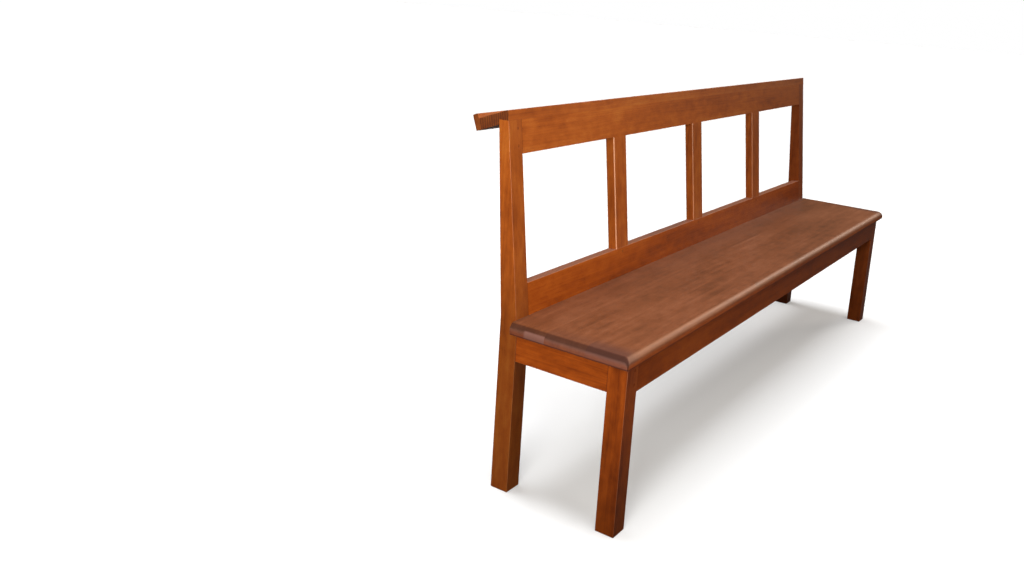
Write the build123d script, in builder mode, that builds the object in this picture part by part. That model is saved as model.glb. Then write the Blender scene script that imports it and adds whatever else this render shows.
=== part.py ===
from build123d import *
import os
from math import cos, radians, sin, tan

# Church pew: a long hardwood bench with an open, raked back of three upright muntins
# between two rails, and a sloping book ledge behind the top of the back.
# +X runs along the pew, the sitter faces -Y, +Z is up. The origin is on the floor, at the
# centre of the pew's bounding box. Lengths are in millimetres.

os.makedirs("parts", exist_ok=True)

# ---- driving dimensions ----------------------------------------------------------------
FRAME_LENGTH = 2030.0  # over the outer faces of the legs
LEG = 50.0  # square section of the legs and posts
LEG_GAP = 256.0  # clear space between a front leg and a rear post
SEAT_HEIGHT = 450.0
BOARD = 27.0  # thickness of the seat planks and of the ledge board
SEAT_END_OVERHANG = 28.0
SEAT_FRONT_OVERHANG = 14.0
SEAT_ROUND = 20.0  # rounding of the seat's top edge, front and ends
SEAT_CORNER = 5.0  # rounding of the seat's two front corners, seen from above
SEAT_PLANKS = 3
REAR_PLANK = 97.0  # width of the rear seat plank, on its underside

APRON_HEIGHT = 77.0
APRON_THICK = 25.0

BACK_RAKE = 6.8  # degrees from upright
RAIL_THICK = 28.0
LOWER_RAIL_TOP = 530.0
TOP_RAIL_BOTTOM = 841.0
POST_TOP = 922.0
MUNTIN_WIDTH = 68.0
MUNTIN_ROUND = 4.0  # rounding of a muntin's four long edges
MUNTINS = 3

LEDGE_RISE = 25.0  # height of the ledge's front edge above the posts
LEDGE_SLOPE = 20.0  # degrees, falling to the rear
LEDGE_WIDTH = 90.0  # along the slope, in front of the lip
LIP_THICK = 15.0
LIP_RISE = 12.5  # above the ledge's top surface
LIP_ROUND = 3.0

TENON_THICK = 10.0
APRON_TENON = 30.0
RAIL_TENON = 36.0
MUNTIN_TENON = 30.0
MUNTIN_SHOULDER = 12.0  # each side of a muntin's tenon
TENON_SHOULDER = 10.0  # at the lower edge of a tenon
TENON_HAUNCH = 15.0  # at the upper edge of a tenon
ARRIS = 1.2  # easing of the long edges that hands and clothes meet
FOOT_CHAMFER = 1.0  # round the foot of each leg, against splitting

PEG_DIAMETER = 7.5
PEG_LENGTH = 25.0
PEG_INSET = 15.0  # from the shoulder of the joint into the leg or post
RAIL_PEG_EDGE = 20.0  # from the edges of a rail's visible face
APRON_PEG_EDGE = 21.0  # from the edges of an apron
MUNTIN_PEG_EDGE = 12.0  # below the top of the lower rail

TONGUE_THICK = 10.0  # the seat's rear edge is tongued into the lower rail
TONGUE_REACH = 10.0  # each side of the rail's front face

BEARER_THICK = 25.0
BEARER_HEIGHT = 60.0
BEARER_TENON = 12.0
BEARER_SHOULDER = 10.0

BUTTON_WIDTH = 32.0
BUTTON_LENGTH = 38.0
BUTTON_THICK = 20.0
BUTTON_TONGUE_THICK = 8.0
BUTTON_TONGUE = 8.0
BUTTON_SLOT = 9.0  # a little deeper than the tongue, so the seat can shrink and swell
BUTTON_EDGE = 3.0  # bevel of the button's free corners
BUTTON_SCREW_INSET = 22.0  # from the apron's inner face
END_BUTTONS = 2  # on each end apron

SCREW_DIAMETER = 4.0
SCREW_HEAD = 8.0
SCREW_HEAD_HEIGHT = 2.5
SCREW_POINT = 5.0
SCREW_SLOT = 1.0  # width and depth
BUTTON_SCREW_LENGTH = 34.0
BEARER_SCREW_LENGTH = 45.0
BEARER_SCREW_HOLD = 15.0  # how far a bearer's screw goes into the seat
COUNTERBORE = 10.0

DOWEL_DIAMETER = 10.0
DOWEL_IN_RAIL = 22.0
DOWEL_IN_LEDGE = 11.0
DOWELS = 6

LIP_PIN_DIAMETER = 2.0
LIP_PIN_LENGTH = 32.0
LIP_PINS = 9
LIP_PIN_END_GAP = 55.0

# ---- derived places --------------------------------------------------------------------
rake = radians(BACK_RAKE)
slope = radians(LEDGE_SLOPE)
half_length = FRAME_LENGTH / 2
shoulder_x = half_length - LEG  # inner faces of the legs and posts
seat_under = SEAT_HEIGHT - BOARD
apron_bottom = seat_under - APRON_HEIGHT
ledge_top = POST_TOP + LEDGE_RISE
half_seat = half_length + SEAT_END_OVERHANG


def lean(height):
    """How far the back's front face has moved to the rear at a height."""
    return (height - seat_under) * tan(rake)


overall_depth = (
    SEAT_FRONT_OVERHANG + LEG + LEG_GAP + lean(ledge_top)
    + (LEDGE_WIDTH + LIP_THICK - LIP_ROUND) * cos(slope) + (LIP_RISE - LIP_ROUND) * sin(slope) + LIP_ROUND
)
front_y = SEAT_FRONT_OVERHANG - overall_depth / 2  # front faces of the front legs
post_y = front_y + LEG + LEG_GAP  # front faces of the rear posts, below the seat
rear_y = post_y + LEG
seat_front_y = front_y - SEAT_FRONT_OVERHANG
rail_depth = RAIL_THICK / cos(rake)  # a raked rail measured level
tenon_inset = (RAIL_THICK - TENON_THICK) / 2
apron_tenon_inset = (APRON_THICK - TENON_THICK) / 2
tongue_bottom = seat_under + (BOARD - TONGUE_THICK) / 2
tongue_y = (post_y - TONGUE_REACH, post_y + TONGUE_REACH)
tongue_z = (tongue_bottom, tongue_bottom + TONGUE_THICK)

front_faces = Plane.XZ.offset(-front_y)
rear_faces = Plane.XZ.offset(-rear_y)
back_face = Plane(origin=(0, post_y, seat_under), x_dir=(1, 0, 0), z_dir=(0, -cos(rake), sin(rake)))

muntin_gap = (2 * shoulder_x - MUNTINS * MUNTIN_WIDTH) / (MUNTINS + 1)
muntin_pitch = muntin_gap + MUNTIN_WIDTH
middle_x = [(i - (MUNTINS - 1) / 2) * muntin_pitch for i in range(MUNTINS)]
ENDS = (("left", -1), ("right", 1))
THIRDS = ("left", "middle", "right")


def up_the_back(height):
    """Distance along the raked front face, from its foot to a height."""
    return (height - seat_under) / cos(rake)


def save(piece, name):
    """Name a finished piece and write its file."""
    piece.part.label = name
    export_step(piece.part, f"parts/{name}.step")


def block(x_range, y_range, z_range, mode=Mode.ADD):
    """A box between two corners, given as a range on each axis."""
    spans = [sorted(r) for r in (x_range, y_range, z_range)]
    with Locations(tuple(sum(s) / 2 for s in spans)):
        Box(*(s[1] - s[0] for s in spans), mode=mode)


def raked_block(x_range, rise_range, depth_range, mode=Mode.ADD):
    """A box in the frame of the back: along X, up the rake, and in from the front face."""
    x_low, x_high = sorted(x_range)
    low, high = rise_range
    near, far = depth_range
    with BuildSketch(back_face.offset(-near)) as face:
        with Locations(((x_low + x_high) / 2, (low + high) / 2)):
            Rectangle(x_high - x_low, high - low)
    extrude(face.sketch, amount=near - far, mode=mode)


def pegs(plane, points, inward, mode=Mode.ADD):
    """Round pegs, or the holes for them, driven into a face at the given points."""
    with BuildSketch(plane) as ends:
        with Locations(*points):
            Circle(PEG_DIAMETER / 2)
    extrude(ends.sketch, amount=inward * PEG_LENGTH, mode=mode)


def screw_blank(length):
    """A countersunk screw without its slot, head at the origin, pointing up."""
    shank = SCREW_DIAMETER / 2
    with BuildPart(mode=Mode.PRIVATE) as screw:
        with BuildSketch(Plane.XZ):
            with BuildLine():
                Polyline(
                    (0, 0), (SCREW_HEAD / 2, 0), (shank, SCREW_HEAD_HEIGHT),
                    (shank, length - SCREW_POINT), (0, length), close=True,
                )
            make_face()
        revolve(axis=Axis.Z)
    return screw.part


def screws(length, points):
    """Slotted screws with their heads at the given points."""
    with Locations(*points):
        add(screw_blank(length))
        Box(
            SCREW_HEAD, SCREW_SLOT, SCREW_SLOT, align=(Align.CENTER, Align.CENTER, Align.MIN),
            mode=Mode.SUBTRACT,
        )


# ---- tenons, shared by the piece that has one and the piece that receives it ---------------
apron_tenon_z = (apron_bottom + TENON_SHOULDER, seat_under - TENON_HAUNCH)
lower_tenon_rise = (
    up_the_back(seat_under + TENON_SHOULDER), up_the_back(LOWER_RAIL_TOP - TENON_HAUNCH)
)
top_tenon_rise = (up_the_back(TOP_RAIL_BOTTOM + TENON_SHOULDER), up_the_back(POST_TOP - TENON_HAUNCH))
rail_tenon_depth = (tenon_inset, tenon_inset + TENON_THICK)


def long_apron_tenon(side, face_y, inward, mode=Mode.ADD):
    """Tenon of the front or rear apron, in the leg or post at one end."""
    near = face_y + inward * apron_tenon_inset
    block(
        (side * shoulder_x, side * (shoulder_x + APRON_TENON)),
        (near, near + inward * TENON_THICK), apron_tenon_z, mode,
    )


def end_apron_tenon(side, shoulder_y, forward, mode=Mode.ADD):
    """Tenon of an end apron, in the front leg or in the rear post."""
    outer = half_length - apron_tenon_inset
    block(
        (side * (outer - TENON_THICK), side * outer),
        (shoulder_y, shoulder_y + forward * APRON_TENON), apron_tenon_z, mode,
    )


def rail_tenon(side, rise_range, mode=Mode.ADD):
    """Tenon of a back rail, in the rear post at one end."""
    raked_block((side * shoulder_x, side * (shoulder_x + RAIL_TENON)), rise_range, rail_tenon_depth, mode)


def muntin_tenons(x, mode=Mode.ADD):
    """The two tenons of a muntin, in the lower and the top rail."""
    reach = MUNTIN_WIDTH / 2 - MUNTIN_SHOULDER
    low = up_the_back(LOWER_RAIL_TOP)
    high = up_the_back(TOP_RAIL_BOTTOM)
    raked_block((x - reach, x + reach), (low - MUNTIN_TENON, low), rail_tenon_depth, mode)
    raked_block((x - reach, x + reach), (high, high + MUNTIN_TENON), rail_tenon_depth, mode)


def bearer_tenons(x, mode=Mode.ADD):
    """The two stub tenons of a seat bearer, in the front and the rear apron."""
    heights = (seat_under - BEARER_HEIGHT + BEARER_SHOULDER, seat_under - TENON_HAUNCH)
    across = (x - TENON_THICK / 2, x + TENON_THICK / 2)
    inner_front = front_y + APRON_THICK
    inner_rear = rear_y - APRON_THICK
    block(across, (inner_front - BEARER_TENON, inner_front), heights, mode)
    block(across, (inner_rear, inner_rear + BEARER_TENON), heights, mode)


# ---- peg positions ----------------------------------------------------------------------
peg_x = shoulder_x + PEG_INSET
apron_peg_points = [
    (side * peg_x, z)
    for _, side in ENDS
    for z in (apron_bottom + APRON_PEG_EDGE, seat_under - APRON_PEG_EDGE)
]
lower_peg_points = [
    (side * peg_x, up_the_back(z))
    for _, side in ENDS
    for z in (SEAT_HEIGHT + RAIL_PEG_EDGE, LOWER_RAIL_TOP - RAIL_PEG_EDGE)
]
top_peg_points = [
    (side * peg_x, up_the_back(z))
    for _, side in ENDS
    for z in (TOP_RAIL_BOTTOM + RAIL_PEG_EDGE, POST_TOP - RAIL_PEG_EDGE)
]
muntin_peg_points = [(x, up_the_back(LOWER_RAIL_TOP) - MUNTIN_PEG_EDGE) for x in middle_x]

# ---- fastener positions -------------------------------------------------------------------
# One screw holds each plank to each bearer.
plank_width = (post_y - REAR_PLANK - seat_front_y) / (SEAT_PLANKS - 1)
plank_edges = [seat_front_y + i * plank_width for i in range(SEAT_PLANKS)] + [post_y]
bearer_screw_z = seat_under + BEARER_SCREW_HOLD - BEARER_SCREW_LENGTH
front_bearer_screw_y = front_y + APRON_THICK + BUTTON_SCREW_INSET
bearer_screw_y = [
    max((near + far) / 2, front_bearer_screw_y) for near, far in zip(plank_edges, plank_edges[1:])
]
bearer_screw_points = [(x, y, bearer_screw_z) for x in middle_x for y in bearer_screw_y]

# Buttons stand between the bearers on the front apron, and along each end apron.
button_z = seat_under - BUTTON_THICK
front_button_x = [(i - MUNTINS / 2) * muntin_pitch for i in range(MUNTINS + 1)]
end_button_pitch = LEG_GAP / END_BUTTONS
end_button_y = [front_y + LEG + (i + 1 / 2) * end_button_pitch for i in range(END_BUTTONS)]
inner_front_y = front_y + APRON_THICK
inner_end_x = half_length - APRON_THICK
button_screw_points = [(x, inner_front_y + BUTTON_SCREW_INSET, button_z) for x in front_button_x]
button_screw_points += [
    (side * (inner_end_x - BUTTON_SCREW_INSET), y, button_z) for _, side in ENDS for y in end_button_y
]


def button_slots(mode=Mode.SUBTRACT):
    """The slots in the aprons that take the buttons' tongues."""
    heights = (button_z, button_z + BUTTON_TONGUE_THICK)
    for x in front_button_x:
        across = (x - BUTTON_WIDTH / 2, x + BUTTON_WIDTH / 2)
        block(across, (inner_front_y - BUTTON_SLOT, inner_front_y), heights, mode)
    for _, side in ENDS:
        for y in end_button_y:
            across = (y - BUTTON_WIDTH / 2, y + BUTTON_WIDTH / 2)
            block((side * inner_end_x, side * (inner_end_x + BUTTON_SLOT)), across, heights, mode)


# ---- front legs ---------------------------------------------------------------------------
for name, side in ENDS:
    leg_x = side * (half_length - LEG / 2)
    leg_y = front_y + LEG / 2
    with BuildPart() as front_leg:
        # The shaft is eased on all four corners; the head, where the aprons meet it flush,
        # only on its outer corner.
        with BuildSketch() as shaft:
            with Locations((leg_x, leg_y)):
                Rectangle(LEG, LEG)
            fillet(shaft.vertices(), ARRIS)
        extrude(amount=apron_bottom)
        with BuildSketch(Plane.XY.offset(apron_bottom)) as head:
            with Locations((leg_x, leg_y)):
                Rectangle(LEG, LEG)
            outer_front = head.vertices().group_by(Axis.Y)[0].sort_by(Axis.X)[0 if side < 0 else -1]
            fillet(outer_front, ARRIS)
        extrude(amount=APRON_HEIGHT)
        long_apron_tenon(side, front_y, 1, Mode.SUBTRACT)
        end_apron_tenon(side, front_y + LEG, -1, Mode.SUBTRACT)
        pegs(front_faces, apron_peg_points, -1, Mode.SUBTRACT)
        chamfer(front_leg.faces().sort_by(Axis.Z)[0].edges(), FOOT_CHAMFER)
    save(front_leg, f"{name}_front_leg")

# ---- rear posts: upright to the seat, then raked and tapered up to the ledge ---------------
post_top_y = post_y + lean(POST_TOP)
for name, side in ENDS:
    with BuildPart() as rear_post:
        with BuildSketch(Plane.YZ.offset(shoulder_x if side > 0 else -half_length)):
            with BuildLine():
                Polyline(
                    (post_y, 0), (post_y, seat_under), (post_top_y, POST_TOP),
                    (post_top_y + rail_depth, POST_TOP), (rear_y, SEAT_HEIGHT), (rear_y, 0),
                    close=True,
                )
            make_face()
        extrude(amount=LEG)
        outer_face = rear_post.faces().sort_by(Axis.X)[0 if side < 0 else -1]
        long_edges = outer_face.edges().filter_by(lambda edge: edge.length > LEG)
        fillet(long_edges, ARRIS)
        long_apron_tenon(side, rear_y, -1, Mode.SUBTRACT)
        end_apron_tenon(side, post_y, 1, Mode.SUBTRACT)
        rail_tenon(side, lower_tenon_rise, Mode.SUBTRACT)
        rail_tenon(side, top_tenon_rise, Mode.SUBTRACT)
        pegs(rear_faces, apron_peg_points, 1, Mode.SUBTRACT)
        pegs(back_face, lower_peg_points, -1, Mode.SUBTRACT)
        pegs(back_face, top_peg_points, -1, Mode.SUBTRACT)
        chamfer(rear_post.faces().sort_by(Axis.Z)[0].edges(), FOOT_CHAMFER)
    save(rear_post, f"{name}_rear_post")

# ---- aprons -------------------------------------------------------------------------------
for name, face_y, inward, face in (
    ("front_apron", front_y, 1, front_faces),
    ("rear_apron", rear_y, -1, rear_faces),
):
    with BuildPart() as long_apron:
        block(
            (-shoulder_x, shoulder_x), (face_y, face_y + inward * APRON_THICK),
            (apron_bottom, seat_under),
        )
        fillet(long_apron.edges().filter_by(Axis.X).group_by(Axis.Z)[0], ARRIS)
        for _, side in ENDS:
            long_apron_tenon(side, face_y, inward)
        for x in middle_x:
            bearer_tenons(x, Mode.SUBTRACT)
        button_slots()
        pegs(face, apron_peg_points, -inward, Mode.SUBTRACT)
    save(long_apron, name)

for name, side in ENDS:
    with BuildPart() as end_apron:
        block(
            (side * inner_end_x, side * half_length), (front_y + LEG, post_y),
            (apron_bottom, seat_under),
        )
        fillet(end_apron.edges().filter_by(Axis.Y).group_by(Axis.Z)[0], ARRIS)
        end_apron_tenon(side, front_y + LEG, -1)
        end_apron_tenon(side, post_y, 1)
        button_slots()
    save(end_apron, f"{name}_end_apron")

# ---- seat bearers, from the front apron to the rear apron ------------------------------------
for name, x in zip(THIRDS, middle_x):
    with BuildPart() as bearer:
        block(
            (x - BEARER_THICK / 2, x + BEARER_THICK / 2), (inner_front_y, rear_y - APRON_THICK),
            (seat_under - BEARER_HEIGHT, seat_under),
        )
        bearer_tenons(x)
        with Locations(*[(x, y, bearer_screw_z) for y in bearer_screw_y]):
            Cylinder(
                COUNTERBORE / 2, BEARER_HEIGHT, align=(Align.CENTER, Align.CENTER, Align.MAX),
                mode=Mode.SUBTRACT,
            )
            add(screw_blank(BEARER_SCREW_LENGTH), mode=Mode.SUBTRACT)
    save(bearer, f"{name}_seat_bearer")

# ---- back: lower rail, top rail and muntins --------------------------------------------------
lower_rail_y = post_y + lean(LOWER_RAIL_TOP)
with BuildPart() as lower_back_rail:
    with BuildSketch(Plane.YZ.offset(-shoulder_x)):
        with BuildLine():
            Polyline(
                (post_y, seat_under), (lower_rail_y, LOWER_RAIL_TOP),
                (lower_rail_y + RAIL_THICK * cos(rake), LOWER_RAIL_TOP - RAIL_THICK * sin(rake)),
                (post_y + rail_depth, seat_under), close=True,
            )
        make_face()
    extrude(amount=2 * shoulder_x)
    fillet(lower_back_rail.edges().filter_by(Axis.X).group_by(Axis.Z)[-1], ARRIS)
    for _, side in ENDS:
        rail_tenon(side, lower_tenon_rise)
    for x in middle_x:
        muntin_tenons(x, Mode.SUBTRACT)
    block((-shoulder_x, shoulder_x), tongue_y, tongue_z, Mode.SUBTRACT)
    pegs(back_face, lower_peg_points + muntin_peg_points, -1, Mode.SUBTRACT)
save(lower_back_rail, "lower_back_rail")

top_rail_y = post_y + lean(TOP_RAIL_BOTTOM)
dowel_pitch = 2 * shoulder_x / DOWELS
dowel_points = [
    ((i - (DOWELS - 1) / 2) * dowel_pitch, post_top_y + rail_depth / 2, POST_TOP - DOWEL_IN_RAIL)
    for i in range(DOWELS)
]


def dowels(mode=Mode.ADD):
    """Upright dowels between the top rail and the ledge board, or the holes for them."""
    with Locations(*dowel_points):
        Cylinder(
            DOWEL_DIAMETER / 2, DOWEL_IN_RAIL + DOWEL_IN_LEDGE,
            align=(Align.CENTER, Align.CENTER, Align.MIN), mode=mode,
        )


with BuildPart() as top_back_rail:
    with BuildSketch(Plane.YZ.offset(-shoulder_x)):
        with BuildLine():
            Polyline(
                (top_rail_y, TOP_RAIL_BOTTOM), (post_top_y, POST_TOP),
                (post_top_y + rail_depth, POST_TOP),
                (top_rail_y + RAIL_THICK * cos(rake), TOP_RAIL_BOTTOM - RAIL_THICK * sin(rake)),
                close=True,
            )
        make_face()
    extrude(amount=2 * shoulder_x)
    for _, side in ENDS:
        rail_tenon(side, top_tenon_rise)
    for x in middle_x:
        muntin_tenons(x, Mode.SUBTRACT)
    dowels(Mode.SUBTRACT)
    pegs(back_face, top_peg_points, -1, Mode.SUBTRACT)
save(top_back_rail, "top_back_rail")

for name, x in zip(THIRDS, middle_x):
    with BuildPart() as muntin:
        raked_block(
            (x - MUNTIN_WIDTH / 2, x + MUNTIN_WIDTH / 2),
            (up_the_back(LOWER_RAIL_TOP), up_the_back(TOP_RAIL_BOTTOM)), (0, RAIL_THICK),
        )
        fillet(muntin.edges().group_by(SortBy.LENGTH)[-1], MUNTIN_ROUND)
        muntin_tenons(x)
        pegs(back_face, muntin_peg_points, -1, Mode.SUBTRACT)
    save(muntin, f"{name}_muntin")

# ---- seat: edge-glued planks, the rear one tongued into the lower rail --------------------------
seat_rear_y = post_y + lean(SEAT_HEIGHT)
for number, name in enumerate(("front", "middle", "rear")):
    near = plank_edges[number]
    far = plank_edges[number + 1]
    is_front = number == 0
    is_rear = number == SEAT_PLANKS - 1
    with BuildPart() as plank:
        with BuildSketch(Plane.YZ.offset(-half_seat)):
            with BuildLine():
                Polyline(
                    (near, seat_under), (near, SEAT_HEIGHT),
                    (seat_rear_y if is_rear else far, SEAT_HEIGHT), (far, seat_under), close=True,
                )
            make_face()
        extrude(amount=2 * half_seat)
        if is_front:
            corners = plank.edges().filter_by(Axis.Z).group_by(Axis.Y)[0]
            fillet(corners, SEAT_CORNER)
        top_edges = plank.faces().sort_by(Axis.Z)[-1].edges()
        outline = top_edges.filter_by(lambda edge: abs(edge.center().X) > half_seat - SEAT_ROUND)
        if is_front:
            outline = outline + top_edges.filter_by(Axis.X).sort_by(Axis.Y)[0:1]
        fillet(outline, SEAT_ROUND)
        if is_rear:
            block((-shoulder_x, shoulder_x), tongue_y, tongue_z)
        with Locations(*bearer_screw_points):
            add(screw_blank(BEARER_SCREW_LENGTH), mode=Mode.SUBTRACT)
        with Locations(*button_screw_points):
            add(screw_blank(BUTTON_SCREW_LENGTH), mode=Mode.SUBTRACT)
    save(plank, f"{name}_seat_plank")

# ---- book ledge: a sloping board rebated over the top rail, with a lip along its rear edge --------
ledge_front_y = post_y + lean(ledge_top)


def on_ledge(along, above):
    """A point beside the ledge's slope, as (y, z): distance down the slope, height off it."""
    return (
        ledge_front_y + along * cos(slope) + above * sin(slope),
        ledge_top - along * sin(slope) + above * cos(slope),
    )


notch_y = post_top_y + rail_depth
notch_z = on_ledge(0, -BOARD)[1] - (notch_y - on_ledge(0, -BOARD)[0]) * tan(slope)
lip_pin_face = Plane(
    origin=(0, *on_ledge(LEDGE_WIDTH + LIP_THICK, -BOARD / 2)), x_dir=(-1, 0, 0),
    z_dir=(0, cos(slope), -sin(slope)),
)
lip_pin_pitch = (FRAME_LENGTH - 2 * LIP_PIN_END_GAP) / (LIP_PINS - 1)


def lip_pins(mode=Mode.ADD):
    """Steel pins through the lip into the ledge board, or the holes for them."""
    with BuildSketch(lip_pin_face) as heads:
        with GridLocations(lip_pin_pitch, lip_pin_pitch, LIP_PINS, 1):
            Circle(LIP_PIN_DIAMETER / 2)
    extrude(heads.sketch, amount=-LIP_PIN_LENGTH, mode=mode)


with BuildPart() as ledge_board:
    with BuildSketch(Plane.YZ.offset(-half_length)):
        with BuildLine():
            Polyline(
                (post_top_y, POST_TOP), (ledge_front_y, ledge_top), on_ledge(LEDGE_WIDTH, 0),
                on_ledge(LEDGE_WIDTH, -BOARD), (notch_y, notch_z), (notch_y, POST_TOP), close=True,
            )
        make_face()
    extrude(amount=FRAME_LENGTH)
    fillet(ledge_board.edges().filter_by(Axis.X).sort_by(Axis.Z)[-1], ARRIS)
    dowels(Mode.SUBTRACT)
    lip_pins(Mode.SUBTRACT)
save(ledge_board, "ledge_board")

with BuildPart() as ledge_lip:
    with BuildSketch(Plane.YZ.offset(-half_length)):
        with BuildLine():
            Polyline(
                on_ledge(LEDGE_WIDTH, -BOARD), on_ledge(LEDGE_WIDTH, LIP_RISE),
                on_ledge(LEDGE_WIDTH + LIP_THICK, LIP_RISE), on_ledge(LEDGE_WIDTH + LIP_THICK, -BOARD),
                close=True,
            )
        make_face()
    extrude(amount=FRAME_LENGTH)
    fillet(ledge_lip.edges().filter_by(Axis.X).sort_by(Axis.Z)[-2:], LIP_ROUND)
    lip_pins(Mode.SUBTRACT)
save(ledge_lip, "ledge_lip")

# ---- pegs, dowels, pins ---------------------------------------------------------------------------
for name, face, points, inward in (
    ("front_apron_pegs", front_faces, apron_peg_points, -1),
    ("rear_apron_pegs", rear_faces, apron_peg_points, 1),
    ("lower_rail_pegs", back_face, lower_peg_points, -1),
    ("top_rail_pegs", back_face, top_peg_points, -1),
    ("muntin_pegs", back_face, muntin_peg_points, -1),
):
    with BuildPart() as peg_set:
        pegs(face, points, inward)
    save(peg_set, name)

with BuildPart() as ledge_dowels:
    dowels()
save(ledge_dowels, "ledge_dowels")

with BuildPart() as lip_pin_set:
    lip_pins()
save(lip_pin_set, "lip_pins")

# ---- seat buttons and screws -------------------------------------------------------------------------
# A button's tongue enters the apron's slot and its screw goes up into the seat.
with BuildPart(mode=Mode.PRIVATE) as button:
    block((-BUTTON_WIDTH / 2, BUTTON_WIDTH / 2), (0, BUTTON_LENGTH), (0, BUTTON_THICK))
    free_corners = button.edges().filter_by(Axis.Z).group_by(Axis.Y)[-1]
    chamfer(free_corners, BUTTON_EDGE)
    block((-BUTTON_WIDTH / 2, BUTTON_WIDTH / 2), (-BUTTON_TONGUE, 0), (0, BUTTON_TONGUE_THICK))
    with Locations((0, BUTTON_SCREW_INSET, 0)):
        add(screw_blank(BUTTON_SCREW_LENGTH), mode=Mode.SUBTRACT)

button_places = [Location((x, inner_front_y, button_z)) for x in front_button_x]
button_places += [
    Location((side * inner_end_x, y, button_z), (0, 0, side * 90)) for _, side in ENDS for y in end_button_y
]
with BuildPart() as seat_buttons:
    with Locations(*button_places):
        add(button.part)
save(seat_buttons, "seat_buttons")

with BuildPart() as button_screws:
    screws(BUTTON_SCREW_LENGTH, button_screw_points)
save(button_screws, "button_screws")

with BuildPart() as bearer_screws:
    screws(BEARER_SCREW_LENGTH, bearer_screw_points)
save(bearer_screws, "bearer_screws")
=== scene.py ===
from math import cos, radians, sin, tau

import bpy
from mathutils import Matrix, Vector


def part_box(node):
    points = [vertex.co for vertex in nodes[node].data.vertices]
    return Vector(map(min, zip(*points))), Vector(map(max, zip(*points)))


# Church pew of varnished tropical hardwood, seen from above its near end.
# Metres, in the CAD frame: +X along the pew, the sitter faces -Y, +Z up, floor at z = 0.

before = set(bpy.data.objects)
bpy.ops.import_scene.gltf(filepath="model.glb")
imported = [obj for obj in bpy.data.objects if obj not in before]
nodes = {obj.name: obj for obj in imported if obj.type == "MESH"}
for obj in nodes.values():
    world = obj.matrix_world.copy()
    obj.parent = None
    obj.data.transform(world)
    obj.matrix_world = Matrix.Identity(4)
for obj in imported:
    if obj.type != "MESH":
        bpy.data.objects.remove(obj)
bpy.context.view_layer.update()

# ---- camera --------------------------------------------------------------------------------
CAMERA_PLACE = (-2.7412, -1.1208, 1.2188)
CAMERA_HEADING = 33.15  # degrees from +X towards +Y
CAMERA_PITCH = 11.70  # degrees down
CAMERA_ROLL = 3.95
CAMERA_LENS = 32.69  # mm on a 36 mm sensor
CAMERA_SHIFT = (-0.0388, -0.0973)

# ---- floor and light -------------------------------------------------------------------------
FLOOR_SIZE = 80.0
FLOOR_ALBEDO = (0.705, 0.73, 0.76)
FLOOR_GLOW = 0.24  # keeps the shadow under the pew pale
FLOOR_BOUNCE = 0.05  # what the floor returns to the pew, as in a room with dark surroundings
ROOM_LIGHT = (0.20, 0.150, 0.100)  # what the room sends to the pew; the camera sees white
WHITE = (1.0, 1.0, 1.0)
WARM = (1.0, 0.96, 0.9)
WARMER = (1.0, 0.89, 0.78)
WINDOWS = {
    "left_window": dict(
        place=(-2.85, -0.62, 1.2), target=(-0.9, 0.05, 0.78), size=(0.7, 0.7),
        power=12.5, colour=WARM, spread=100.0,
    ),
    "front_lamp": dict(
        place=(-1.2, -1.9, 1.5), target=(-0.75, 0.13, 1.1), size=(0.9, 0.5),
        power=3.8, colour=WARM, spread=70.0,
    ),
    "low_window": dict(
        place=(-1.0, -2.7, 0.30), target=(-0.4, 0.1, 0.45), size=(3.2, 0.4),
        power=6.0, colour=WARM,
    ),
    "far_window": dict(
        place=(4.5, -1.5, 2.5), target=(0.0, -0.30, 0.9), size=(1.3, 1.8),
        power=44.0, colour=WARMER,
    ),
    "rear_window": dict(
        place=(0.4, 3.4, 1.7), target=(0.0, 0.1, 0.5), size=(2.6, 1.0), power=26.0,
    ),
}
CEILING = {
    "ceiling_front": dict(direction=(0.03, 0.12, -1.0), strength=1.5, softness=22.0),
    "ceiling_rear": dict(direction=(0.0, -0.24, -1.0), strength=1.55, softness=24.0),
}

# ---- wood --------------------------------------------------------------------------------------
GRAIN_ORDER = {"X": "XYZ", "Y": "YXZ", "Z": "ZXY"}  # the grain's direction comes first
AXES = {"X": (1.0, 0.0, 0.0), "Y": (0.0, 1.0, 0.0), "Z": (0.0, 0.0, 1.0)}

# Dark, middle and pale wood, and the levels of the markings that they stand for.
HONEY = ((0.190, 0.0330, 0.0040), (0.410, 0.0960, 0.0110), (0.560, 0.1780, 0.0270))
RED = ((0.120, 0.0180, 0.0016), (0.330, 0.0640, 0.0050), (0.480, 0.1150, 0.0120))
# The next palette is the seat's top, browned by wear and greyed by painted sheen.
BROWN_AND_SHEEN = ((0.078, 0.0240, 0.0085), (0.178, 0.0580, 0.0235), (0.262, 0.0980, 0.0470))
LEVELS = (0.12, 0.54, 0.96)

STAIN = (0.060, 0.0120, 0.0060)
SAPWOOD = (0.215, 0.098, 0.078)
# Whitened flat end grain: a chalky finish and a painted sheen.
BLOOM_AND_SHEEN = (0.34, 0.15, 0.12)
GRIME = (0.098, 0.037, 0.026)
PORE = (0.070, 0.0120, 0.0030)
# Fine dirt on faces that look up, partly a painted sheen.
DUST_AND_SHEEN = (0.225, 0.190, 0.180)
# Paler long edges: wear from rubbing and a painted highlight.
RUBBED_AND_HIGHLIGHT = (0.86, 0.46, 0.27)

LOG_PITCH = 1.37  # each piece is cut from its own place along the log,
HEART_GAP = (0.11, 0.06)  # and at its own distance from the heart
HEART_STEP = (0.037, 0.029)
HEART_CYCLE = (7, 5)

SWAY_STRETCH = (1.3, 5.0, 5.0)
SWAY_DETAIL = 2.0
SWAY = 0.022  # how far the grain wanders
RING_PITCH = 0.0062
RING_SHARPNESS = 2.2
RING_WEIGHT = -0.05

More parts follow.
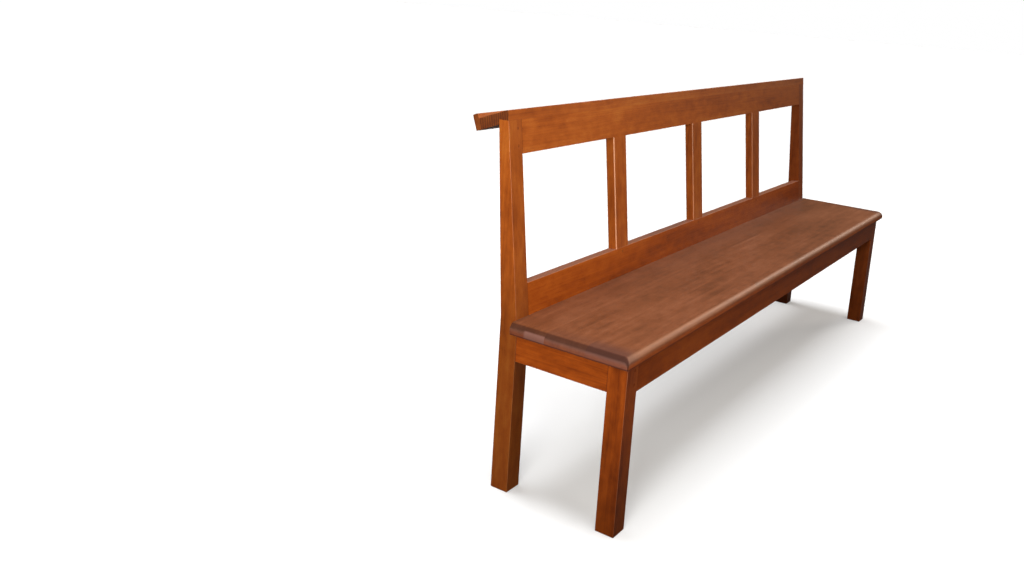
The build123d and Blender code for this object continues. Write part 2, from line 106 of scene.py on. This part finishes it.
# Each marking's noise: about how often it repeats in a metre along and across the grain, its
# detail and its roughness. A weight says how much a marking darkens and lightens the wood.
MARKINGS = {
    "streak": (1.6, 75.0, 4.0, 0.60),
    "line": (5.0, 230.0, 3.0, 0.60),
    "band": (0.9, 17.0, 2.0, 0.55),
    "blotch": (3.2, 9.0, 3.0, 0.55),
    "mottle": (26.0, 48.0, 3.0, 0.55),
    "fibre": (14.0, 620.0, 2.0, 0.55),
    "pores": (110.0, 2100.0, 1.0, 0.55),
}
MARKING_WEIGHTS = {
    "streak": 0.44, "line": 0.46, "band": 0.36, "blotch": 0.70, "mottle": 0.56, "fibre": 0.16,
}
STRAIGHT_MARKINGS = ("blotch", "mottle")  # the others wander with the grain
PORE_SPAN = (0.56, 0.66)
PORE_DEPTH = 0.25

# Faces are told apart by the cosine of their normal's angle to the grain, to the vertical, to
# Y or to the nearest axis. Each pair is where a layer starts and where it is complete.
CUT_ACROSS = (0.12, 0.50)
FLAT_END = (0.80, 0.97)
ALONG_GRAIN = (0.20, 0.05)
ARRIS = (0.98, 0.85)
WORN_AND_SHEEN_FACES = (-0.10, 0.45)
DUST_AND_SHEEN_FACES = (0.60, 0.95)
# Where the painted shade on the faces towards -Y and +Y starts and is complete.
SIDE_FACES = (0.30, 0.90)

# Rounded end grain is darkened: end-grain stain and painted shade.
ROUNDED_END_STAIN_AND_SHADE = 0.45
END_RING_PITCH = 0.0052
END_RING_SPAN = (-0.4, 0.5)
END_RING_SWAY = 0.01
SAP_WIDTH = 0.057
SAP_HEIGHT = 0.0185
SAP_GLUE_LINE = 0.0005  # the sapwood stops sharply at the glue line
SAP_SOFTNESS = 0.004
SAP_TOP_SOFTNESS = 0.002
SAP_END = (-0.9, -1.0)  # along X: on the near end only
SAP_MOTTLE = 0.5
SEAM_CORE = 0.2  # the share of a seam's reach where it is darkest
SEAM_DEPTH = 0.8
SEAM_REACH = 0.0018  # to each side of the line
# Reach of the painted shadow along the seat planks' bottom edge.
UNDERSIDE_SHADOW_REACH = 0.0045
HANDLED_REACH = 0.078  # in from the seat's end, where the grime starts
HANDLED_CORE = 0.018  # and where it is complete

BUMP_STRENGTH = 0.16
BUMP_DISTANCE = 0.00015
FIBRE_HEIGHT = 0.5
LINE_HEIGHT = 0.6
PORE_HEIGHT = -0.8
VARNISH_IOR = 1.42
UNEVEN_ROUGHNESS = 0.07
PORE_ROUGHNESS = 0.10
END_ROUGHNESS = 0.25
GRIME_ROUGHNESS = 0.15

GRIT_STRETCH = (900.0, 900.0, 900.0)  # on the screws and pins
GRIT_DETAIL = 3.0
GRIT_SPAN = (0.3, 0.7)
GRIT_COLOURS = ((0.22, 0.20, 0.18), (0.46, 0.45, 0.43))
GRIT_ROUGHNESS = (0.5, 0.3)


def new_nodes(tree):
    """Empties a node tree and returns a function that adds nodes to it."""
    tree.nodes.clear()

    def add(kind, **settings):
        node = tree.nodes.new(kind)
        for key, value in settings.items():
            setattr(node, key, value)
        return node

    return add


class Graph:
    """A material's node tree, written as expressions."""

    def __init__(self, name):
        self.material = bpy.data.materials.new(name)
        self.material.use_nodes = True
        self.tree = self.material.node_tree
        self.add = new_nodes(self.tree)

    def plug(self, source, socket):
        """Links a socket, or sets its value."""
        if isinstance(source, bpy.types.NodeSocket):
            self.tree.links.new(source, socket)
        else:
            socket.default_value = source

    def math(self, operation, *values):
        node = self.add("ShaderNodeMath", operation=operation)
        for value, socket in zip(values, node.inputs):
            self.plug(value, socket)
        return node.outputs[0]

    def vector(self, operation, *values):
        node = self.add("ShaderNodeVectorMath", operation=operation)
        for value, socket in zip(values, node.inputs):
            self.plug(value, socket)
        gives_number = operation in ("LENGTH", "DOT_PRODUCT")
        return node.outputs["Value"] if gives_number else node.outputs[0]

    def split(self, vector):
        """A vector's three numbers."""
        node = self.add("ShaderNodeSeparateXYZ")
        self.plug(vector, node.inputs[0])
        return tuple(node.outputs)

    def join(self, *values):
        """A vector of three numbers."""
        node = self.add("ShaderNodeCombineXYZ")
        for value, socket in zip(values, node.inputs):
            self.plug(value, socket)
        return node.outputs[0]

    def noise(self, place, stretch, detail, roughness=0.55):
        """Noise that repeats about so many times in a metre along each axis."""
        node = self.add("ShaderNodeTexNoise")
        self.plug(self.vector("MULTIPLY", place, stretch), node.inputs["Vector"])
        node.inputs["Scale"].default_value = 1.0
        node.inputs["Detail"].default_value = detail
        node.inputs["Roughness"].default_value = roughness
        return node.outputs["Fac"]

    def ramp(self, value, places, colours):
        node = self.add("ShaderNodeValToRGB")
        self.plug(value, node.inputs[0])
        elements = node.color_ramp.elements
        while len(elements) < len(places):
            elements.new(0.5)
        for element, place, colour in zip(elements, places, colours):
            element.position = place
            element.color = (*colour, 1.0)
        return node.outputs[0]

    def span(self, value, low, high, to_low=0.0, to_high=1.0):
        """Smoothly maps a value's range onto another."""
        node = self.add("ShaderNodeMapRange", interpolation_type="SMOOTHSTEP")
        self.plug(value, node.inputs["Value"])
        for key, number in (
            ("From Min", low), ("From Max", high), ("To Min", to_low), ("To Max", to_high)
        ):
            self.plug(number, node.inputs[key])
        return node.outputs[0]

    def mix(self, factor, first, second, blend="MIX"):
        """Mixes two colours; the node's colour inputs are 6 and 7, and its colour output 2."""
        node = self.add("ShaderNodeMix", data_type="RGBA", blend_type=blend)
        for index, value in ((0, factor), (6, first), (7, second)):
            if isinstance(value, tuple):
                value = (*value, 1.0)
            self.plug(value, node.inputs[index])
        return node.outputs[2]

    def shade(self, colour, share):
        """A colour times a number that varies."""
        return self.mix(1.0, colour, self.join(share, share, share), "MULTIPLY")

    def finished(self, shader):
        """The material, with a shader as its surface."""
        out = self.add("ShaderNodeOutputMaterial")
        self.plug(shader.outputs[0], out.inputs["Surface"])
        return self.material


def log_place(seed):
    """Where in the log a piece is cut."""
    across = zip(HEART_GAP, HEART_STEP, HEART_CYCLE)
    return (LOG_PITCH * seed, *(gap + step * (seed % cycle) for gap, step, cycle in across))


class Board(Graph):
    """A piece of wood with its grain along an axis. Its methods are the layers of its colour."""

    def __init__(self, name, grain, seed):
        super().__init__(name)
        place = self.add("ShaderNodeTexCoord").outputs["Object"]
        self.place = dict(zip("XYZ", self.split(place)))
        self.normal = self.add("ShaderNodeNewGeometry").outputs["Normal"]
        self.up = self.vector("DOT_PRODUCT", self.normal, AXES["Z"])
        self.facing = self.facing_along(grain)

        turned = self.join(*(self.place[axis] for axis in GRAIN_ORDER[grain]))
        wood = self.vector("ADD", turned, log_place(seed))
        self.sway = self.noise(wood, SWAY_STRETCH, SWAY_DETAIL)
        moved = self.join(self.sway, self.sway, self.sway)
        moved = self.vector("MULTIPLY", moved, (0.0, SWAY, SWAY))
        swayed = self.vector("ADD", wood, moved)
        self.marking = {}
        for marking, (along, across, detail, roughness) in MARKINGS.items():
            where = wood if marking in STRAIGHT_MARKINGS else swayed
            stretch = (along, across, across)
            self.marking[marking] = self.noise(where, stretch, detail, roughness)
        self.pore = self.span(self.marking["pores"], *PORE_SPAN)
        self.level = self.mixed_level(swayed)

    def facing_along(self, axis):
        """How squarely the surface faces along an axis, either way."""
        return self.math("ABSOLUTE", self.vector("DOT_PRODUCT", self.normal, AXES[axis]))

    def mixed_level(self, swayed):
        """How dark or pale the growth rings and the markings make the wood."""
        radius = self.vector("LENGTH", self.vector("MULTIPLY", swayed, (0.0, 1.0, 1.0)))
        ring = self.math("FRACT", self.math("MULTIPLY", radius, 1 / RING_PITCH))
        ring = self.math("POWER", ring, RING_SHARPNESS)
        level = self.math("MULTIPLY", ring, RING_WEIGHT)
        for marking, weight in MARKING_WEIGHTS.items():
            around_zero = self.math("SUBTRACT", self.marking[marking], 0.5)
            level = self.math("MULTIPLY_ADD", around_zero, weight, level)
        return self.math("ADD", level, LEVELS[1])

    def planed(self, palette):
        """Wood along the grain, with its pores."""
        colour = self.ramp(self.level, LEVELS, palette)
        return self.mix(self.math("MULTIPLY", self.pore, PORE_DEPTH), colour, PORE)

    def worn_and_sheen_top(self, colour, grime):
        """The browner, greyer top of a seat, from wear and painted sheen, with the grime of its
        ends.
        """
        brown_and_sheen = self.mix(grime, self.planed(BROWN_AND_SHEEN), GRIME)
        return self.mix(self.span(self.up, *WORN_AND_SHEEN_FACES), colour, brown_and_sheen)

    def rubbed_and_highlit_arrises(self, colour, rubbed):
        """Long edges made paler, by wear from rubbing and a painted highlight."""
        x, y, z = self.split(self.vector("ABSOLUTE", self.normal))
        largest = self.math("MAXIMUM", self.math("MAXIMUM", x, y), z)
        long_faces = self.span(self.facing, *ALONG_GRAIN)
        arris = self.math("MULTIPLY", self.span(largest, *ARRIS), long_faces)
        return self.mix(self.math("MULTIPLY", arris, rubbed), colour, RUBBED_AND_HIGHLIGHT)

    def end_grain(self, colour, ends, bloom, rings, sapwood):
        """Faces cut across the grain, first the rounded ones and then the flat ones."""
        flat = self.span(self.facing, *FLAT_END)
        # The rounded end grain is darkened: end-grain stain and painted shade.
        rounded_stain_and_shade = self.mix(ROUNDED_END_STAIN_AND_SHADE, colour, STAIN)
        # The flat end grain is whitened: a chalky finish and painted sheen.
        end = self.mix(flat, rounded_stain_and_shade, self.mix(bloom, colour, BLOOM_AND_SHEEN))
        if rings:
            wandering = self.math("MULTIPLY", self.sway, END_RING_SWAY)
            across = self.math("ADD", self.place["Y"], wandering)
            wave = self.math("SINE", self.math("MULTIPLY", across, tau / END_RING_PITCH))
            dark = self.math("MULTIPLY", self.span(wave, *END_RING_SPAN), rings)
            end = self.mix(dark, end, STAIN)
        # Less colour is left on the rounded end grain than on the flat: stain and painted shade.
        end = self.shade(end, self.span(flat, 0.0, 1.0, *ends))
        if sapwood:
            end = self.pale_patch(end, *sapwood)
        return self.mix(self.span(self.facing, *CUT_ACROSS), colour, end)

    def pale_patch(self, colour, first, last, top):
        """Sapwood on the near end, between two places across it and below a height."""
        inside = self.span(self.place["X"], *SAP_END)
        for edge in (
            self.span(self.place["Y"], first, first + SAP_GLUE_LINE),
            self.span(self.place["Y"], last + SAP_SOFTNESS, last - SAP_SOFTNESS),
            self.span(self.place["Z"], top + SAP_TOP_SOFTNESS, top - SAP_TOP_SOFTNESS),
        ):
            inside = self.math("MULTIPLY", inside, edge)
        streaky = self.math("MULTIPLY", self.marking["mottle"], SAP_MOTTLE)
        return self.mix(inside, colour, self.mix(streaky, SAPWOOD, colour))

    def joint_lines(self, colour, seams):
        """Dark lines where other pieces meet this one, and a painted shadow along the seat planks'
        bottom edge.
        """
        for axis, place, reach in seams:
            away = self.math("ABSOLUTE", self.math("SUBTRACT", self.place[axis], place))
            line = self.span(away, reach, SEAM_CORE * reach, 0.0, SEAM_DEPTH)
            colour = self.mix(line, colour, STAIN)
        return colour

    def varnished(self, colour, satin, gloss, grime):
        """The finished material: varnish that follows the pores and the fibres."""
        line = self.math("MULTIPLY", self.marking["line"], LINE_HEIGHT)
        height = self.math("MULTIPLY_ADD", self.marking["fibre"], FIBRE_HEIGHT, line)
        height = self.math("MULTIPLY_ADD", self.pore, PORE_HEIGHT, height)
        bump = self.add("ShaderNodeBump")
        bump.inputs["Strength"].default_value = BUMP_STRENGTH
        bump.inputs["Distance"].default_value = BUMP_DISTANCE
        self.plug(height, bump.inputs["Height"])

        uneven = self.math("SUBTRACT", self.marking["mottle"], 0.5)
        roughness = self.math("MULTIPLY_ADD", uneven, UNEVEN_ROUGHNESS, satin)
        for layer, rougher in (
            (self.pore, PORE_ROUGHNESS),
            (self.span(self.facing, *CUT_ACROSS), END_ROUGHNESS),
            (grime, GRIME_ROUGHNESS),
        ):
            roughness = self.math("MULTIPLY_ADD", layer, rougher, roughness)

        shader = self.add("ShaderNodeBsdfPrincipled")
        shader.inputs["IOR"].default_value = VARNISH_IOR
        shader.inputs["Specular IOR Level"].default_value = gloss
        self.plug(colour, shader.inputs["Base Color"])
        self.plug(roughness, shader.inputs["Roughness"])
        self.plug(bump.outputs[0], shader.inputs["Normal"])
        return self.finished(shader)


# ---- materials ---------------------------------------------------------------------------------
def timber(
    name, seed, grain, palette=RED, tone=1.0, front=1.0, foot=None, rubbed=0.2,
    ends=(0.45, 0.8), bloom=0.0, end_rings=0.0, sapwood=None, seams=(),
    worn=False, handled=0.0, dust=0.0, satin=0.30, gloss=0.5,
):
    """Varnished hardwood with its grain along an axis.

    tone scales the palette's colour, and front scales it on the faces towards -Y and +Y, as
    painted shade on those faces. foot is (low, high, share): painted shade under
    the seat, where from the higher place to the lower the colour falls to that share.
    rubbed says how much paler the long edges are, from wear by rubbing and a
    painted highlight. ends are the shares of the colour left on rounded and on flat end grain;
    the darker rounded share is end-grain stain and painted shade. bloom whitens the
    flat end grain, as a chalky finish and a painted sheen, and end_rings darkens its growth
    rings. sapwood is the (first y, last y, top z) of a pale patch on the near end. seams are
    the (axis, place, reach) of the lines where this piece meets others; on the seat planks the
    line along the bottom edge is a painted shadow. worn makes top faces browner and
    greyer, as wear and painted sheen, handled adds grime at their ends, and dust
    covers them with fine dirt and painted sheen.
    satin is the roughness, and gloss the strength of the reflections."""
    board = Board(name, grain, seed)
    grime = 0.0
    if handled:
        from_middle = board.math("ABSOLUTE", board.place["X"])
        grime = board.math("MULTIPLY", board.span(from_middle, *HANDLED_ENDS), handled)
    colour = board.planed(palette)
    # A browner, greyer top: wear and painted sheen.
    if worn:
        colour = board.worn_and_sheen_top(colour, grime)
    # Paler long edges: wear from rubbing and a painted highlight.
    if rubbed:
        colour = board.rubbed_and_highlit_arrises(colour, rubbed)
    colour = board.end_grain(colour, ends, bloom, end_rings, sapwood)
    colour = board.mix(1.0, colour, (tone, tone, tone), "MULTIPLY")
    # Painted shade: the faces towards -Y and +Y are made darker.
    if front != 1.0:
        share = board.span(board.facing_along("Y"), *SIDE_FACES, 1.0, front)
        colour = board.shade(colour, share)
    # Painted shade under the seat: the colour darkens towards the floor.
    if foot:
        low, high, share = foot
        colour = board.shade(colour, board.span(board.place["Z"], low, high, share, 1.0))
    colour = board.joint_lines(colour, seams)
    # Fine dirt and painted sheen on faces that look up.
    dust_and_sheen_share = board.math("MULTIPLY", board.span(board.up, *DUST_AND_SHEEN_FACES), dust)
    colour = board.mix(dust_and_sheen_share, colour, DUST_AND_SHEEN)
    return board.varnished(colour, satin, gloss, grime)


def steel(name):
    """Dull steel, for the screws and pins."""
    g = Graph(name)
    place = g.add("ShaderNodeTexCoord").outputs["Object"]
    grit = g.noise(place, GRIT_STRETCH, GRIT_DETAIL)
    shader = g.add("ShaderNodeBsdfPrincipled")
    shader.inputs["Metallic"].default_value = 1.0
    g.plug(g.ramp(grit, GRIT_SPAN, GRIT_COLOURS), shader.inputs["Base Color"])
    g.plug(g.span(grit, *GRIT_SPAN, *GRIT_ROUGHNESS), shader.inputs["Roughness"])
    return g.finished(shader)


def floor_surface(name):
    """A matt floor that glows a little for the camera and hardly lights the pew."""
    g = Graph(name)
    seen = g.add("ShaderNodeLightPath").outputs["Is Camera Ray"]
    matt = g.add("ShaderNodeBsdfDiffuse")
    g.plug(g.mix(seen, (FLOOR_BOUNCE,) * 3, FLOOR_ALBEDO), matt.inputs["Color"])
    glow = g.add("ShaderNodeEmission")
    g.plug(g.math("MULTIPLY", seen, FLOOR_GLOW), glow.inputs["Strength"])
    both = g.add("ShaderNodeAddShader")
    g.plug(matt.outputs[0], both.inputs[0])
    g.plug(glow.outputs[0], both.inputs[1])
    return g.finished(both)


# ---- places from the frame, and each piece's finish ----------------------------------------------
leg_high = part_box("left_front_leg")[1]
post_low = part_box("left_rear_post")[0]
plank_low, plank_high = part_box("rear_seat_plank")
HANDLED_ENDS = (plank_high[0] - HANDLED_REACH, plank_high[0] - HANDLED_CORE)
SAP_PATCH = (plank_low[1], plank_low[1] + SAP_WIDTH, plank_low[2] + SAP_HEIGHT)
LONG_SEAMS = (("X", leg_high[0], SEAM_REACH), ("X", -leg_high[0], SEAM_REACH))
END_SEAMS = (("Y", leg_high[1], SEAM_REACH), ("Y", post_low[1], SEAM_REACH))
# A painted shadow along the seat planks' bottom edge and over their underside.
UNDERSIDE_PAINTED_SHADOW = (("Z", plank_low[2], UNDERSIDE_SHADOW_REACH),)
# Painted shade under the seat, darker towards the floor.
LEG_PAINTED_SHADE = (0.0, 0.36, 0.66)  # low, high and share
POST_PAINTED_SHADE = (0.40, 0.64, 0.68)
FAR_POST_PAINTED_SHADE = (0.3, 0.5, 0.45)
PEG_ENDS = (0.30, 0.80)  # on rounded and on flat end grain
FINISHES = {
    "left_front_leg": dict(grain="Z", tone=1.15, front=0.76, foot=LEG_PAINTED_SHADE),
    "right_front_leg": dict(grain="Z", tone=0.84, foot=LEG_PAINTED_SHADE),
    "left_rear_post": dict(grain="Z", palette=HONEY, tone=1.07, front=0.80, foot=POST_PAINTED_SHADE),
    "right_rear_post": dict(grain="Z", tone=0.75, foot=FAR_POST_PAINTED_SHADE),
    "front_apron": dict(grain="X", tone=0.84, seams=LONG_SEAMS, gloss=0.28),
    "rear_apron": dict(grain="X", tone=0.8, seams=LONG_SEAMS),
    "left_end_apron": dict(grain="Y", tone=1.25, seams=END_SEAMS),
    "right_end_apron": dict(grain="Y", tone=0.9, seams=END_SEAMS),
    "lower_back_rail": dict(
        grain="X", tone=0.92, seams=LONG_SEAMS, dust=0.36, satin=0.34, gloss=0.22,
    ),
    "top_back_rail": dict(
        grain="X", palette=HONEY, tone=0.94, seams=LONG_SEAMS, satin=0.34, gloss=0.35,
    ),
    "left_muntin": dict(grain="Z", palette=HONEY, tone=0.90, rubbed=0.75),
    "middle_muntin": dict(grain="Z", palette=HONEY, tone=0.88, rubbed=0.45),
    "right_muntin": dict(grain="Z", palette=HONEY, tone=0.98, rubbed=0.4),
    "front_seat_plank": dict(
        grain="X", rubbed=0.12, ends=(0.57, 0.68), bloom=0.4, seams=UNDERSIDE_PAINTED_SHADOW,
        worn=True, handled=0.85, satin=0.42,
    ),
    "middle_seat_plank": dict(
        grain="X", ends=(0.54, 0.65), bloom=0.3, seams=UNDERSIDE_PAINTED_SHADOW,
        worn=True, handled=0.35, satin=0.42,
    ),
    "rear_seat_plank": dict(
        grain="X", ends=(0.55, 0.66), bloom=0.2, sapwood=SAP_PATCH, seams=UNDERSIDE_PAINTED_SHADOW,
        worn=True, satin=0.42,
    ),
    "ledge_board": dict(
        grain="X", palette=HONEY, tone=0.9, rubbed=0.0, ends=(0.5, 0.7), end_rings=0.7,
    ),
    "ledge_lip": dict(grain="X", palette=HONEY, tone=0.9, rubbed=0.0, ends=(0.5, 0.68)),
    "front_apron_pegs": dict(grain="Y", tone=0.62),
    "rear_apron_pegs": dict(grain="Y", tone=0.8),
    "lower_rail_pegs": dict(grain="Y", palette=HONEY, tone=0.8, ends=PEG_ENDS),
    "top_rail_pegs": dict(grain="Y", palette=HONEY, tone=0.8, ends=PEG_ENDS),
    "muntin_pegs": dict(grain="Y", palette=HONEY, tone=0.6, ends=PEG_ENDS),
    "ledge_dowels": dict(grain="Z", palette=HONEY, tone=0.9),
    "seat_buttons": dict(grain="Y", palette=HONEY, tone=0.8),
}
for side in ("left", "middle", "right"):
    FINISHES[f"{side}_seat_bearer"] = dict(grain="Y", palette=HONEY, tone=0.8)
STEEL_NODES = ("lip_pins", "button_screws", "bearer_screws")


def give_materials():
    """Each piece gets wood from its own place in the log, in the order of their names."""
    for seed, (node, finish) in enumerate(sorted(FINISHES.items()), start=1):
        nodes[node].material_slots[0].material = timber(f"timber_{node}", seed, **finish)
    metal = steel("screw_steel")
    for node in STEEL_NODES:
        nodes[node].material_slots[0].material = metal


# ---- studio ------------------------------------------------------------------------------------
def make_floor():
    half = FLOOR_SIZE / 2
    corners = [(-half, -half, 0), (half, -half, 0), (half, half, 0), (-half, half, 0)]
    mesh = bpy.data.meshes.new("floor")
    mesh.from_pydata(corners, [], [(0, 1, 2, 3)])
    mesh.materials.append(floor_surface("floor"))
    floor = bpy.data.objects.new("floor", mesh)
    bpy.context.scene.collection.objects.link(floor)


def make_world():
    """White for the camera, and a dim warm room for everything else."""
    world = bpy.data.worlds.new("studio")
    bpy.context.scene.world = world
    world.use_nodes = True
    add = new_nodes(world.node_tree)
    link = world.node_tree.links.new
    path = add("ShaderNodeLightPath")
    colour = add("ShaderNodeMix", data_type="RGBA")
    link(path.outputs["Is Camera Ray"], colour.inputs[0])
    colour.inputs[6].default_value = (*ROOM_LIGHT, 1.0)
    colour.inputs[7].default_value = (*WHITE, 1.0)
    background = add("ShaderNodeBackground")
    link(colour.outputs[2], background.inputs["Color"])
    link(background.outputs[0], add("ShaderNodeOutputWorld").inputs["Surface"])


def put_lamp(name, light, direction):
    """Puts a light at the origin, shining in a direction."""
    lamp = bpy.data.objects.new(name, light)
    bpy.context.scene.collection.objects.link(lamp)
    lamp.rotation_euler = direction.to_track_quat("-Z", "Y").to_euler()
    return lamp


def area_light(name, place, target, size, power, colour=WHITE, spread=180.0):
    light = bpy.data.lights.new(name, "AREA")
    light.shape = "RECTANGLE"
    light.size, light.size_y = size
    light.energy = power
    light.color = colour
    light.spread = radians(spread)
    put_lamp(name, light, Vector(target) - Vector(place)).location = place


def sun_light(name, direction, strength, softness):
    light = bpy.data.lights.new(name, "SUN")
    light.energy = strength
    light.angle = radians(softness)
    # The ceiling is too broad to show as a reflection.
    put_lamp(name, light, Vector(direction)).visible_glossy = False


def make_camera():
    data = bpy.data.cameras.new("camera")
    data.lens = CAMERA_LENS
    data.shift_x, data.shift_y = CAMERA_SHIFT
    camera = bpy.data.objects.new("camera", data)
    bpy.context.scene.collection.objects.link(camera)
    heading, pitch, roll = (radians(a) for a in (CAMERA_HEADING, CAMERA_PITCH, CAMERA_ROLL))
    ahead = Vector((cos(pitch) * cos(heading), cos(pitch) * sin(heading), -sin(pitch)))
    level = Vector((sin(heading), -cos(heading), 0))
    upright = level.cross(ahead)
    right = level * cos(roll) + upright * sin(roll)
    up = upright * cos(roll) - level * sin(roll)
    turn = Matrix((right, up, -ahead)).transposed()
    camera.matrix_world = Matrix.Translation(CAMERA_PLACE) @ turn.to_4x4()
    bpy.context.scene.camera = camera


give_materials()
make_floor()
make_world()
for name, window in WINDOWS.items():
    area_light(name, **window)
for name, sun in CEILING.items():
    sun_light(name, **sun)
make_camera()
bpy.context.scene.view_settings.view_transform = "Standard"
bpy.context.scene.view_settings.look = "None"
